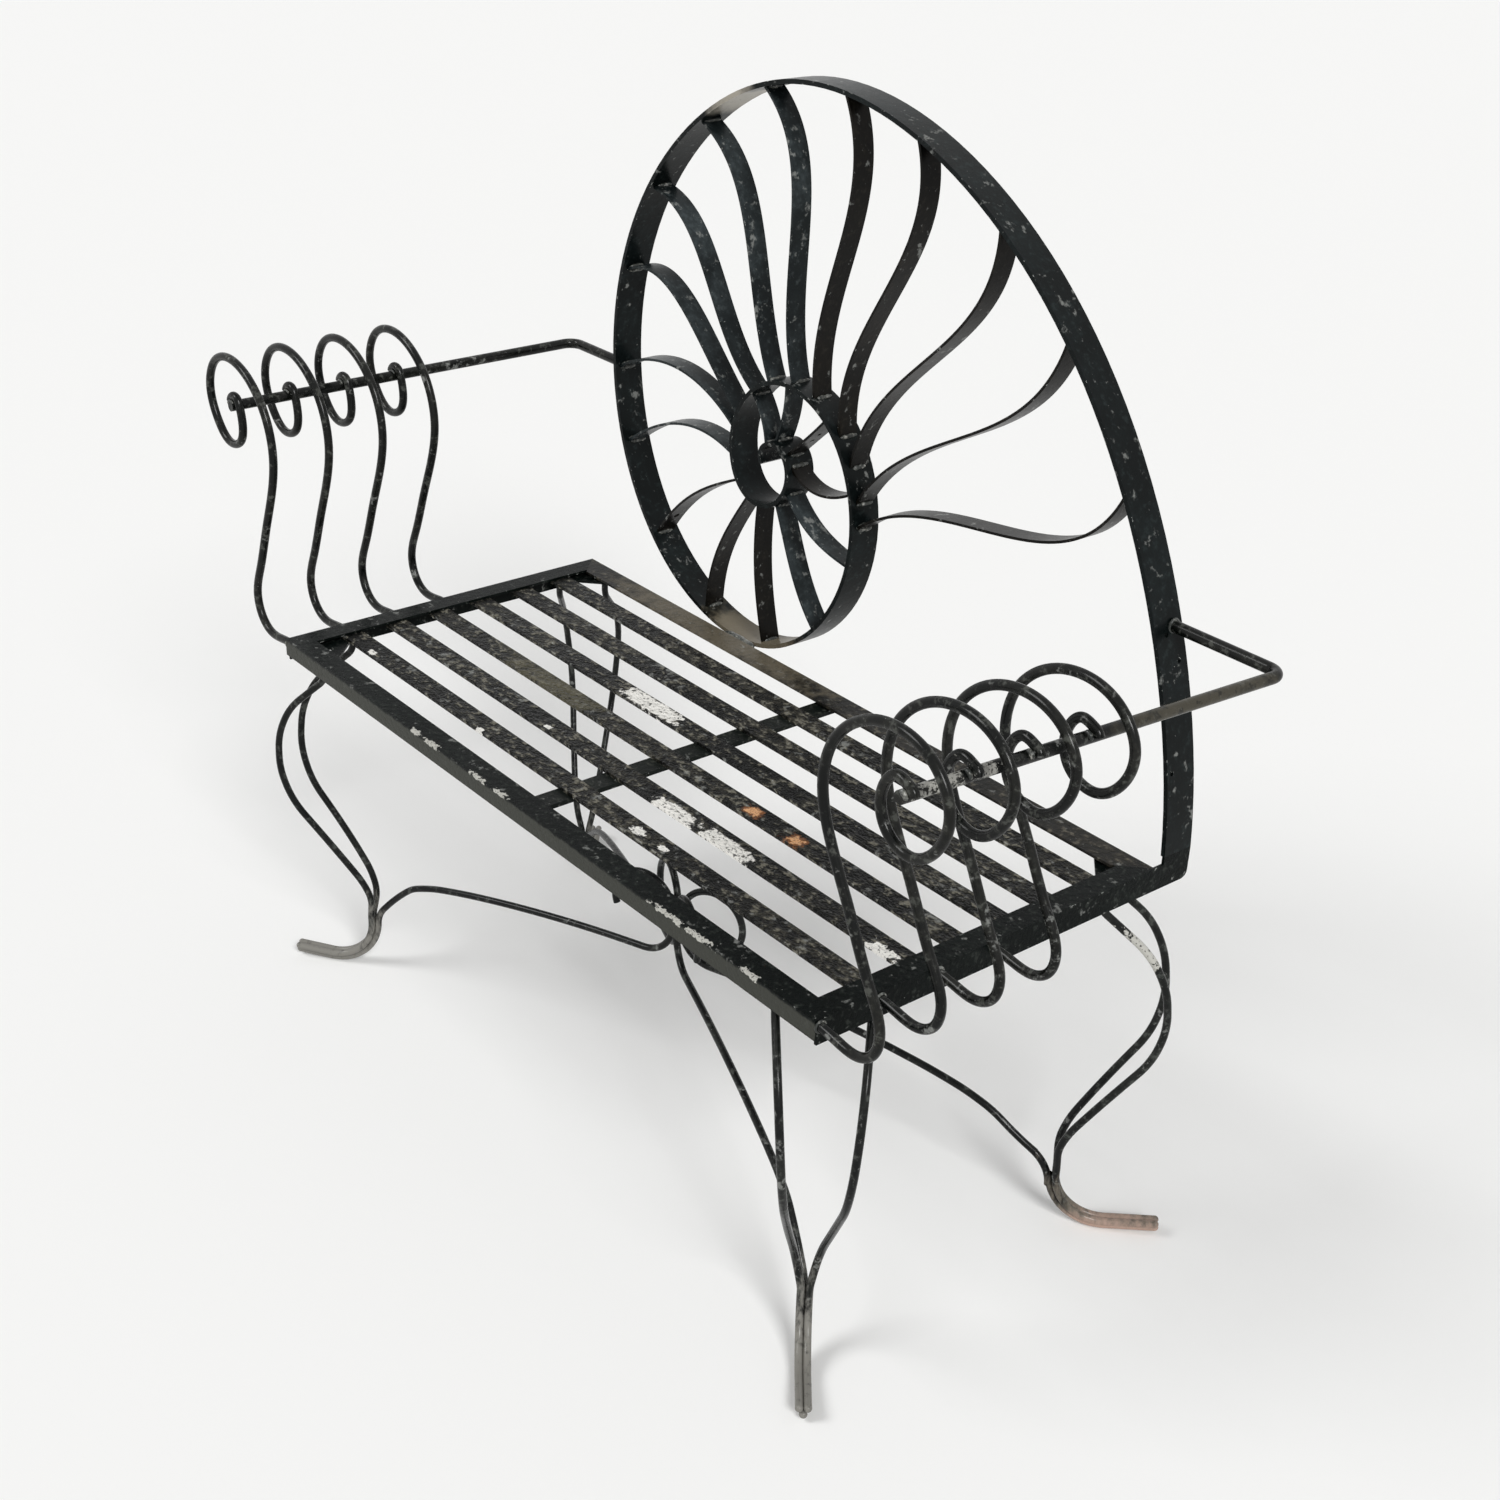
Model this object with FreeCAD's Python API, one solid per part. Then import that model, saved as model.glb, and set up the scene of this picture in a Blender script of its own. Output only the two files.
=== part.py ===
import FreeCAD, Part
import math
import os

# Wrought iron loveseat. X runs along the seat, Y to the back, Z up; sizes in mm.
# While building, x = 0 is the middle of the seat, y = 0 the front rail's face and z = 0 the floor.
# At the end everything moves so that the middle of the base of the whole bench is the origin.
V = FreeCAD.Vector
os.makedirs("parts", exist_ok=True)

# Seat frame of angle iron
seat_length = 940.0
seat_depth = 430.0
seat_height = 440.0
rail_height = 20.0
end_rail_height = 26.0
rail_flange = 26.0
back_flange = 30.0
rail_thickness = 3.0

# Slats, centre crossbar and corner plates, all under the flanges
slat_count = 6
slat_width = 25.0
slat_thickness = 4.0
slat_front_gap = 35.0
slat_back_gap = 24.0
slat_end_gap = 0.5
crossbar_width = 25.0
crossbar_thickness = 5.0
crossbar_offset = 9.0
gusset_leg = {"front": 92.0, "back": 74.0}
gusset_corners = [("front", "left"), ("back", "left"), ("back", "right")]
gusset_thickness = 3.0
gusset_hole_radius = 4.0

# Shell back: one flat bar on edge, bent to a growing spiral, with thin ribs between its whorls
band_width = 38.0
band_thickness = 5.0
back_gap = 12.0
post_step = 8.0
post_corner_radius = 8.0
shell_centre_offset = -147.0
shell_centre_rise = 218.0
whorl_step = 45.0
whorl_radii = [570, 466, 416, 344, 288, 254, 220, 173, 140, 119, 97, 76, 66, 60, 47, 37, 33, 31, 27, 20, 12]
rib_width = 25.0
rib_thickness = 3.0
rib_handle = 0.38
joint_clearance = 0.15
# Each rib: angle where it leaves the outer whorl, angle where it meets the inner one,
# and how far it leans off the straight line between them at each end, in degrees
rib_rows = [
    (14.2, 348.3, 45, 17),
    (31.0, 358.8, 33, 17),
    (46.6, 374.7, 36, 22),
    (63.7, 389.4, 39, 25),
    (78.1, 414.9, 35, 14),
    (95.4, 433.7, 44, 9),
    (112.1, 456.8, 40, 1),
    (130.9, 476.8, 36, 13),
    (150.5, 507.4, 55, -8),
    (172.7, 522.2, 35, -34),
    (190.5, 549.6, 26, -35),
    (215.3, 571.0, 18, -14),
    (242.5, 589.9, 22, -12),
    (268.9, 606.4, 11, -12),
    (296.1, 642.5, 16, -5),
    (330.9, 676.8, 18, -26),
    (364.0, 736.0, 31, -46),
    (402.0, 757.0, 4, 0),
    (439.4, 803.0, 14, -12),
    (477.0, 843.0, 15, -18),
]
# Punched holes left in the reused strip: rib number, share of its length, radius
rib_holes = [(12, 0.17, 4.0), (18, 0.42, 2.5), (18, 0.6, 2.5)]
# Small holes in the post: height above the seat, distance behind its front edge
post_holes = [(93.0, 6.0), (196.0, 27.0), (222.0, 14.5)]
post_hole_radius = 2.2

# Arms: four scrolled rods a side, hooked over a rail
arm_rod_radius = 4.75
arm_rail_radius = 6.0
arm_first = 6.0
arm_pitch = 69.0
arm_count = 4
arm_rail_reach = {"left": 94.0, "right": 80.0}
arm_rail_rise = 252.0
arm_rail_front = 0.0
arm_rail_back = 38.0
arm_bend_radius = 16.0
arm_foot_drop = 7.0
arm_lean = {"left": 14.0, "right": -12.0}
arm_rear_drop = {"left": 0.0, "right": 24.0}
# The rod's centreline: distance outside the end rail, height above its foot
arm_profile = [(0, 0), (26, -3), (48, -3), (66, 8), (74, 32), (59, 72), (32, 130), (8, 181),
               (-3, 224), (7, 268), (37, 299), (82, 312), (122, 299), (141, 265), (130, 230), (101, 210),
               (72, 222)]
hook_angles = [172, 125, 75, 48, 20]
# How far off the rail a hook starts, and the angle from which it lies on the rail
hook_slack = {"left": 0.0, "right": 11.0}
hook_closed_angle = 75

# Legs: two rods a leg that bulge out, meet at the ankle and kick out as one foot, and a stretcher each
leg_rod_radius = 4.0
leg_pair_gap = 0.2
ankle_height = 74.0
ankle_bend = 40.0
stretcher_bend = 42.0
foot_bend_radius = 52.0
toe_lift = 5.0
ankle_inset = {"front": (57.0, 60.0), "back": (40.0, 40.0)}
foot_outset = {"front": (18.0, 2.0), "back": (40.0, 33.0)}
leg_top_setback = {"front": (66.0, 79.0), "back": (45.0, 59.0)}
# Outward bulge of the leg, its height, and half the spread of the two rods there
leg_bulge = {"front": [(87.0, 352.0, 37.0), (94.0, 255.0, 30.0), (36.0, 177.0, 22.0), (-6.0, 112.0, 12.0)],
             "back": [(78.0, 352.0, 36.0), (91.0, 255.0, 28.0), (38.0, 177.0, 20.0), (-2.0, 112.0, 12.0)]}
stretcher_height = 172.0
# How a stretcher climbs from the ankle: distance in from it, height
stretcher_rise = {"front": [(32.0, 110.0), (66.0, 138.0), (165.0, 156.0)],
                  "back": [(36.0, 92.0), (80.0, 124.0), (165.0, 146.0)]}
centre_scroll_radius = 38.0
centre_scroll_straight = 20.0
centre_scroll_end = 200.0

# Weld between the back rail and the lowest part of the shell
weld_length = 55.0
weld_depth = 9.0

half_length = seat_length / 2
rail_bottom = seat_height - rail_height
end_rail_bottom = seat_height - end_rail_height
flange_under = seat_height - rail_thickness
slat_under = flange_under - slat_thickness
gusset_under = slat_under - gusset_thickness
band_front = seat_depth + back_gap
band_back = band_front + band_width
nodes = {}


def block(x0, x1, y0, y1, z0, z1):
    return Part.makeBox(x1 - x0, y1 - y0, z1 - z0, V(x0, y0, z0))


def plate(corners, z, thickness):
    outline = [V(x, y, z) for x, y in corners]
    return Part.Face(Part.makePolygon(outline + outline[:1])).extrude(V(0, 0, thickness))


def smooth_curve(points):
    curve = Part.BSplineCurve()
    curve.interpolate(points)
    return curve


def rod(edges, radius):
    """Round bar swept along a line of edges."""
    path = Part.Wire(edges)
    start = path.Edges[0].valueAt(path.Edges[0].FirstParameter)
    heading = path.Edges[0].tangentAt(path.Edges[0].FirstParameter)
    ring = Part.Wire(Part.makeCircle(radius, start, heading))
    return path.makePipeShell([ring], True, False)


def bent_line(points, bends):
    """Straight runs between points; a corner is rounded by its own bend, or as its runs allow."""
    edges = []
    start = points[0]
    for before, corner, after, bend in zip(points, points[1:], points[2:], bends):
        run_in = corner - before
        run_out = after - corner
        half_turn = run_in.getAngle(run_out) / 2
        setback = bend * math.tan(half_turn) if bend else 0.46 * min(run_in.Length, run_out.Length)
        run_in.normalize()
        run_out.normalize()
        radius = setback / math.tan(half_turn)
        first = corner - run_in * setback
        last = corner + run_out * setback
        middle = corner + (run_out - run_in).normalize() * (radius / math.cos(half_turn) - radius)
        edges.append(Part.makeLine(start, first))
        edges.append(Part.Arc(first, middle, last).toShape())
        start = last
    edges.append(Part.makeLine(start, points[-1]))
    return edges


def eased(points):
    """Cuts every corner to two, a quarter of the way along its runs, so that the bends flow together."""
    softer = [points[0]]
    for before, corner, after in zip(points, points[1:], points[2:]):
        softer.append(corner + (before - corner) * 0.25)
        softer.append(corner + (after - corner) * 0.25)
    return softer + [points[-1]]


# Front and back rails: the flange is mitred to the end rails, the upright leg stays below it
def front_rail():
    f = rail_flange
    flange = plate([(-half_length, 0), (half_length, 0), (half_length - f, f), (-half_length + f, f)],
                   flange_under, rail_thickness)
    leg = block(-half_length, half_length, 0, rail_thickness, rail_bottom, flange_under)
    return flange.fuse(leg).removeSplitter()


def back_rail():
    f = back_flange
    d = seat_depth
    inner = half_length - rail_thickness
    flange = plate([(-half_length, d), (half_length, d), (half_length - f, d - f), (-half_length + f, d - f)],
                   flange_under, rail_thickness)
    leg = block(-inner, inner, d - rail_thickness, d, rail_bottom, flange_under)
    return flange.fuse(leg).removeSplitter()


def end_flange(side):
    f = rail_flange
    inner = half_length - f
    corners = [(half_length, 0), (half_length, seat_depth), (inner, seat_depth - f), (inner, f)]
    return plate([(side * x, y) for x, y in corners], flange_under, rail_thickness)


def left_end_rail():
    leg = block(-half_length, -half_length + rail_thickness, rail_thickness, seat_depth,
                end_rail_bottom, flange_under)
    return end_flange(-1).fuse(leg).removeSplitter()


# The right end rail's upright leg runs on behind the seat, with a rounded lower corner, and carries the post
def right_end_rail():
    x = half_length - rail_thickness
    r = post_corner_radius
    corner = V(x, band_back - r, end_rail_bottom + r)
    bend = Part.Arc(V(x, band_back - r, end_rail_bottom),
                    corner + V(0, r * math.sqrt(0.5), -r * math.sqrt(0.5)),
                    V(x, band_back, end_rail_bottom + r)).toShape()
    post_foot = seat_height + post_step
    top = [V(x, band_back, end_rail_bottom + r), V(x, band_back, post_foot), V(x, band_front, post_foot),
           V(x, band_front, seat_height), V(x, seat_depth, seat_height), V(x, seat_depth, flange_under),
           V(x, rail_thickness, flange_under), V(x, rail_thickness, end_rail_bottom),
           V(x, band_back - r, end_rail_bottom)]
    outline = Part.Wire([bend] + [Part.makeLine(a, b) for a, b in zip(top[:-1], top[1:])])
    leg = Part.Face(outline).extrude(V(rail_thickness, 0, 0))
    return end_flange(1).fuse(leg).removeSplitter()


nodes["front_rail"] = front_rail()
nodes["back_rail"] = back_rail()
nodes["left_end_rail"] = left_end_rail()
nodes["right_end_rail"] = right_end_rail()

# Slats lie under the end flanges, evenly spaced between the front and back rails
first_slat = rail_flange + slat_front_gap
last_slat = seat_depth - back_flange - slat_back_gap - slat_width
slat_pitch = (last_slat - first_slat) / (slat_count - 1)
slat_reach = half_length - rail_thickness - slat_end_gap
for number in range(slat_count):
    y = first_slat + number * slat_pitch
    slat = block(-slat_reach, slat_reach, y, y + slat_width, slat_under, flange_under)
    nodes["slat_%d" % (number + 1)] = slat

# The crossbar runs under the slats from the front rail to the back rail
nodes["crossbar"] = block(crossbar_offset - crossbar_width / 2, crossbar_offset + crossbar_width / 2,
                          rail_thickness, seat_depth - rail_thickness,
                          slat_under - crossbar_thickness, slat_under)


# Triangular corner plate under the slats, welded inside two rails, with one punched hole
def gusset(side, end):
    x = side * (half_length - rail_thickness)
    y = rail_thickness if end == "front" else seat_depth - rail_thickness
    inward = 1 if end == "front" else -1
    leg = gusset_leg[end]
    corners = [(x, y), (x - side * leg, y), (x, y + inward * leg)]
    hole_at = V(x - side * leg * 0.4, y + inward * leg * 0.34, gusset_under)
    hole = Part.makeCylinder(gusset_hole_radius, gusset_thickness, hole_at)
    return plate(corners, gusset_under, gusset_thickness).cut(hole)


sides = {"left": -1, "right": 1}
for end, name in gusset_corners:
    nodes["gusset_%s_%s" % (end, name)] = gusset(sides[name], end)

# Shell spiral: the foot stands on the right end rail, then one radius each step round the centre
shell_x = shell_centre_offset
shell_z = seat_height + shell_centre_rise
foot_point = V(half_length - band_thickness / 2, 0, seat_height + post_step)
whorl_points = [foot_point]
for number, radius in enumerate(whorl_radii):
    turn = math.radians(number * whorl_step)
    whorl_points.append(V(shell_x + radius * math.cos(turn), 0, shell_z + radius * math.sin(turn)))
whorl = smooth_curve(whorl_points)
whorl_knots = whorl.getKnots()


def whorl_point(angle):
    """Point of the spiral's centreline at an angle counted on from its right-hand side, in degrees."""
    step = min(int(angle // whorl_step), len(whorl_radii) - 2)
    low = whorl_knots[step + 1]
    high = whorl_knots[step + 2]
    aim = V(math.cos(math.radians(angle)), 0, math.sin(math.radians(angle)))
    for _ in range(40):
        middle = (low + high) / 2
        arm = whorl.value(middle) - V(shell_x, 0, shell_z)
        if aim.x * arm.z - aim.z * arm.x < 0:
            low = middle
        else:
            high = middle
    return whorl.value(low)


def ribbon(curve, thickness, width, front, samples):
    """Flat bar on edge: the curve in the XZ plane, thickened both ways and run back along Y."""
    first = curve.FirstParameter
    span = curve.LastParameter - first
    one_side = []
    other_side = []
    for number in range(samples + 1):
        u = first + span * number / samples
        point = curve.value(u) + V(0, front, 0)
        along = curve.tangent(u)[0]
        across = V(-along.z, 0, along.x) * (thickness / 2)
        one_side.append(point + across)
        other_side.append(point - across)
    edges = [smooth_curve(one_side).toShape(), Part.makeLine(one_side[-1], other_side[-1]),
             smooth_curve(other_side).toShape(), Part.makeLine(other_side[0], one_side[0])]
    return Part.Face(Part.Wire(Part.__sortEdges__(edges))).extrude(V(0, width, 0))


whorl_samples = 6 * len(whorl_radii)
band = ribbon(whorl, band_thickness, band_width, band_front, whorl_samples)
band_room = ribbon(whorl, band_thickness + 2 * joint_clearance, band_width, band_front, whorl_samples)
below_foot = block(0, half_length * 2, band_front, band_back, 0, seat_height + post_step)
band = band.cut(below_foot)
for rise, back in post_holes:
    hole_at = V(0, band_front + back, seat_height + rise)
    band = band.cut(Part.makeCylinder(post_hole_radius, seat_length, hole_at, V(1, 0, 0)))
nodes["shell_band"] = band


def turned(v, degrees):
    c = math.cos(math.radians(degrees))
    s = math.sin(math.radians(degrees))
    return V(c * v.x - s * v.z, 0, s * v.x + c * v.z)


def rib_curve(row):
    outer, inner, outer_lean, inner_lean = row
    start = whorl_point(outer)
    finish = whorl_point(inner)
    reach = (finish - start) * rib_handle
    curve = Part.BezierCurve()
    curve.setPoles([start, start + turned(reach, outer_lean), finish - turned(reach, inner_lean), finish])
    return curve


# Ribs are trimmed to the faces of the band they are welded to
rib_front = band_front + (band_width - rib_width) / 2
rib_middle = rib_front + rib_width / 2
for number, row in enumerate(rib_rows, 1):
    curve = rib_curve(row)
    rib = ribbon(curve, rib_thickness, rib_width, rib_front, 12).cut(band_room)
    for hole_rib, share, radius in rib_holes:
        if hole_rib == number:
            through = turned(curve.tangent(share)[0], 90)
            start = curve.value(share) + V(0, rib_middle, 0) - through * rib_thickness
            rib = rib.cut(Part.makeCylinder(radius, 2 * rib_thickness, start, through))
    nodes["rib_%02d" % number] = max(rib.Solids, key=lambda piece: piece.Volume)


# Arms. The rail runs back, turns in and ends on the shell band; scrolls hook over it
def rail_height_at(name, y):
    share = (y - arm_rail_front) / (seat_depth + arm_rail_back - arm_rail_front)
    return seat_height + arm_rail_rise - arm_rear_drop[name] * share


def rail_reach(name):
    return half_length + arm_rail_reach[name]


def arm_rail(name, side):
    x = side * rail_reach(name)
    y = seat_depth + arm_rail_back
    front = V(x, arm_rail_front, rail_height_at(name, arm_rail_front))
    corner = V(x, y, rail_height_at(name, y))
    back_run = (front - corner).normalize()
    in_run = V(-side, 0, 0)
    r = arm_bend_radius
    centre = corner + back_run * r + in_run * r
    middle = centre - (back_run + in_run).normalize() * r
    bend = Part.Arc(corner + back_run * r, middle, corner + in_run * r).toShape()
    end = V(side * half_length * 0.5, y, corner.z)
    path = [Part.makeLine(front, corner + back_run * r), bend, Part.makeLine(corner + in_run * r, end)]
    pieces = rod(path, arm_rail_radius).cut(band_room).Solids
    return max(pieces, key=lambda piece: side * piece.CenterOfMass.x)


def arm_scroll(name, side, y):
    foot_z = seat_height - arm_foot_drop
    top_z = rail_height_at(name, y)
    lift = (top_z - foot_z) / (arm_rail_rise + arm_foot_drop)
    points = []
    for reach, rise in arm_profile:
        lean = arm_lean[name] * rise / (arm_rail_rise + arm_foot_drop)
        points.append(V(side * (half_length + reach + lean), y, foot_z + rise * lift))
    closed = arm_rail_radius + arm_rod_radius + joint_clearance
    for angle in hook_angles:
        a = math.radians(angle)
        share = (angle - hook_closed_angle) / (hook_angles[0] - hook_closed_angle)
        hook = closed + hook_slack[name] * max(0, share)
        points.append(V(side * (rail_reach(name) + hook * math.cos(a)), y, top_z + hook * math.sin(a)))
    return rod([smooth_curve(points).toShape()], arm_rod_radius)


for name, side in sides.items():
    nodes["arm_rail_%s" % name] = arm_rail(name, side)
    for number in range(arm_count):
        y = arm_first + number * arm_pitch
        nodes["arm_scroll_%s_%d" % (name, number + 1)] = arm_scroll(name, side, y)


# Legs. Every leg has its own upright plane through the ankle and the foot's tip
def corner_point(side, end, inset_x, inset_y, z):
    y = inset_y if end == "front" else seat_depth - inset_y
    return V(side * (half_length - inset_x), y, z)


def leg_frame(side, end):
    inset = ankle_inset[end]
    outset = foot_outset[end]
    ankle = corner_point(side, end, inset[0], inset[1], 0)
    tip = corner_point(side, end, -outset[0], -outset[1], 0)
    reach = (tip - ankle).Length
    return ankle, (tip - ankle) / reach, reach


# The foot is a bundle of three rods: the leg's two side by side, with the stretcher's end below them
pair_half = leg_rod_radius + leg_pair_gap / 2
groove = pair_half * math.sqrt(3)


def foot_points(side, end, below):
    """Ankle, corner and tip of the foot's line, set off below the line of the leg's two rods."""
    ankle, outward, reach = leg_frame(side, end)
    lift = math.radians(toe_lift)
    bend_centre = leg_rod_radius + groove + foot_bend_radius
    corner_height = bend_centre - (foot_bend_radius + below) * (1 + math.sin(lift)) / math.cos(lift)
    behind = ankle - outward * below
    tip = ankle + outward * (reach + below * math.sin(lift))
    tip_height = corner_height + (tip - behind).Length * math.tan(lift)
    return [behind + V(0, 0, ankle_height), behind + V(0, 0, corner_height), tip + V(0, 0, tip_height)]


def leg_top(end, name, which):
    """Height of whatever the top of a leg rod is welded to: a corner plate, the flange or a slat."""
    if (end, name) in gusset_corners:
        return gusset_under
    return flange_under if which == "rail" else slat_under


def leg_rod(name, end, which):
    side = sides[name]
    ankle, outward, _ = leg_frame(side, end)
    across = outward.cross(V(0, 0, 1))
    setback = leg_top_setback[end]
    middle = (rail_flange + rail_thickness) / 2 - 2
    if which == "rail":
        top = corner_point(side, end, setback[0], middle, 0)
    else:
        top = corner_point(side, end, middle, setback[1], 0)
    across = across if (top - ankle).dot(across) > 0 else across * -1
    foot = [point + across * pair_half for point in foot_points(side, end, 0)]
    bulge = [top + V(0, 0, end_rail_bottom - leg_rod_radius)]
    for out, height, spread in leg_bulge[end]:
        bulge.append(ankle + outward * out + across * spread + V(0, 0, height))
    points = [top + V(0, 0, leg_top(end, name, which))] + eased(bulge + foot[:1])
    bends = [None] * (len(points) - 2) + [ankle_bend, foot_bend_radius]
    bar = rod(bent_line(points + foot[1:], bends), leg_rod_radius)
    return bar.fuse(Part.makeSphere(leg_rod_radius, foot[-1]))


# Stretcher: from the foot up behind the ankle, level to the middle of the bench, then curled up and back
def stretcher(side, end):
    bundle = V(side * pair_half, seat_depth / 2 + (-pair_half if end == "front" else pair_half), 0)
    foot = foot_points(side, end, groove)
    run = V(foot[0].x, foot[0].y, 0) - bundle
    length = run.Length
    run.normalize()

    def at(t, z):
        return bundle + run * t + V(0, 0, z)

    r = centre_scroll_radius
    high = stretcher_height + r + centre_scroll_straight
    climb = [at(length - back, height) for back, height in stretcher_rise[end]]
    level = [at(length * 0.3, stretcher_height - 3), at(0, stretcher_height)]
    points = [foot[2], foot[1]] + eased(foot[:1] + climb + level) + [at(0, high)]
    bends = [foot_bend_radius + groove, stretcher_bend] + [None] * (len(points) - 5) + [r]
    a = math.radians(180 - centre_scroll_end)
    turn_back = Part.Arc(at(0, high), at(r, high + r), at(r + r * math.cos(a), high + r * math.sin(a)))
    bar = rod(bent_line(points, bends) + [turn_back.toShape()], leg_rod_radius)
    return bar.fuse(Part.makeSphere(leg_rod_radius, points[0]))


for end in ("front", "back"):
    for name, side in sides.items():
        nodes["leg_%s_%s_rail_rod" % (end, name)] = leg_rod(name, end, "rail")
        nodes["leg_%s_%s_end_rod" % (end, name)] = leg_rod(name, end, "end")
        nodes["stretcher_%s_%s" % (end, name)] = stretcher(side, end)

# Weld run that ties the bottom of the shell to the back rail
weld_at = whorl_point(262)
nodes["shell_weld"] = block(weld_at.x - weld_length / 2, weld_at.x + weld_length / 2, seat_depth, band_front,
                            seat_height - weld_depth, seat_height)

whole = Part.makeCompound(list(nodes.values())).optimalBoundingBox(False, False)
to_origin = V(-(whole.XMin + whole.XMax) / 2, -(whole.YMin + whole.YMax) / 2, -whole.ZMin)
for name, shape in nodes.items():
    shape.translate(to_origin)
    shape.exportStep("parts/%s.step" % name)
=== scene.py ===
import math
import random
import bmesh
import bpy
from mathutils import Matrix, Vector
from mathutils.bvhtree import BVHTree


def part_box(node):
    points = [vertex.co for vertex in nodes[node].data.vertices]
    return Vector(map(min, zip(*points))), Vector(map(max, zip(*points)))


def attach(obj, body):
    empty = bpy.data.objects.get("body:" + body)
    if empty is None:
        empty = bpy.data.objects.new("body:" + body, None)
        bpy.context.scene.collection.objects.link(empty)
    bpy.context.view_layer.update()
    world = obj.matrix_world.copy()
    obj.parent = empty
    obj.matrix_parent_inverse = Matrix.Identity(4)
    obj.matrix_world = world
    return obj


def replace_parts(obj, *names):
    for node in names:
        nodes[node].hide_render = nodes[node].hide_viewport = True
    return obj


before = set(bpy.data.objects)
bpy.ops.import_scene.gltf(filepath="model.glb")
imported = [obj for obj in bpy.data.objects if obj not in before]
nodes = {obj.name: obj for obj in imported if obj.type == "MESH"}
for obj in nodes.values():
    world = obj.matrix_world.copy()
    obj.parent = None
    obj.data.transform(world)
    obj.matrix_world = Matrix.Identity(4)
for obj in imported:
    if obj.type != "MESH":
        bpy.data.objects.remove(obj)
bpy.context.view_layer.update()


# Seat frame
# Four lengths of angle iron, mitred and welded, with the flange on top and the upright leg outside, and a
# plate in three corners. Old black brush paint, chipped to pale primer along the front edge where people sit.
def screen(red, green, blue):
    """A colour as a screen shows it, from 0 to 255, as the linear colour that a shader takes."""
    linear = []
    for value in (red, green, blue):
        share = value / 255
        linear.append(((share + 0.055) / 1.055) ** 2.4 if share > 0.04 else share / 12.92)
    return (*linear, 1)


def add_node(tree, kind, inputs=None, **settings):
    """One shader node: settings are its properties, inputs its sockets, by name or number."""
    made = tree.nodes.new("ShaderNode" + kind)
    for name, value in settings.items():
        setattr(made, name, value)
    for key, value in (inputs or {}).items():
        socket = made.inputs[key]
        if isinstance(value, bpy.types.NodeSocket):
            tree.links.new(value, socket)
        else:
            socket.default_value = value
    return made


def noise(tree, place, scale, detail, roughness):
    sockets = {"Vector": place, "Scale": scale, "Detail": detail, "Roughness": roughness}
    return add_node(tree, "TexNoise", sockets).outputs["Fac"]


def reckon(tree, operation, first, second):
    """One sum of two values."""
    return add_node(tree, "Math", {0: first, 1: second}, operation=operation).outputs[0]


def plus(tree, first, second):
    return reckon(tree, "ADD", first, second)


def minus(tree, first, second):
    return reckon(tree, "SUBTRACT", first, second)


def times(tree, first, second):
    return reckon(tree, "MULTIPLY", first, second)


def larger(tree, first, second):
    return reckon(tree, "MAXIMUM", first, second)


def reckon_places(tree, operation, first, second):
    """One sum of two places or directions, axis by axis."""
    return add_node(tree, "VectorMath", {0: first, 1: second}, operation=operation).outputs[0]


def rising(tree, value, low, high):
    """0 below low, 1 above high, a soft step between."""
    limits = {"Value": value, "From Min": low, "From Max": high}
    return add_node(tree, "MapRange", limits, interpolation_type="SMOOTHSTEP").outputs["Result"]


def laid_over(tree, share, under, over):
    """A share of one colour over another. A Mix node's colours go in at sockets 6 and 7 and out at 2."""
    return add_node(tree, "Mix", {0: share, 6: under, 7: over}, data_type="RGBA").outputs[2]


def new_group(name, inputs, outputs):
    """An empty shader group, with the sockets inside it that bring values in and take them out."""
    group = bpy.data.node_groups.new(name, "ShaderNodeTree")
    for label, kind, value in inputs:
        group.interface.new_socket(label, in_out="INPUT", socket_type=kind).default_value = value
    for label, kind in outputs:
        group.interface.new_socket(label, in_out="OUTPUT", socket_type=kind)
    return group, group.nodes.new("NodeGroupInput").outputs, group.nodes.new("NodeGroupOutput").inputs


COLOUR = "NodeSocketColor"
VALUE = "NodeSocketFloat"
VECTOR = "NodeSocketVector"


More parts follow.
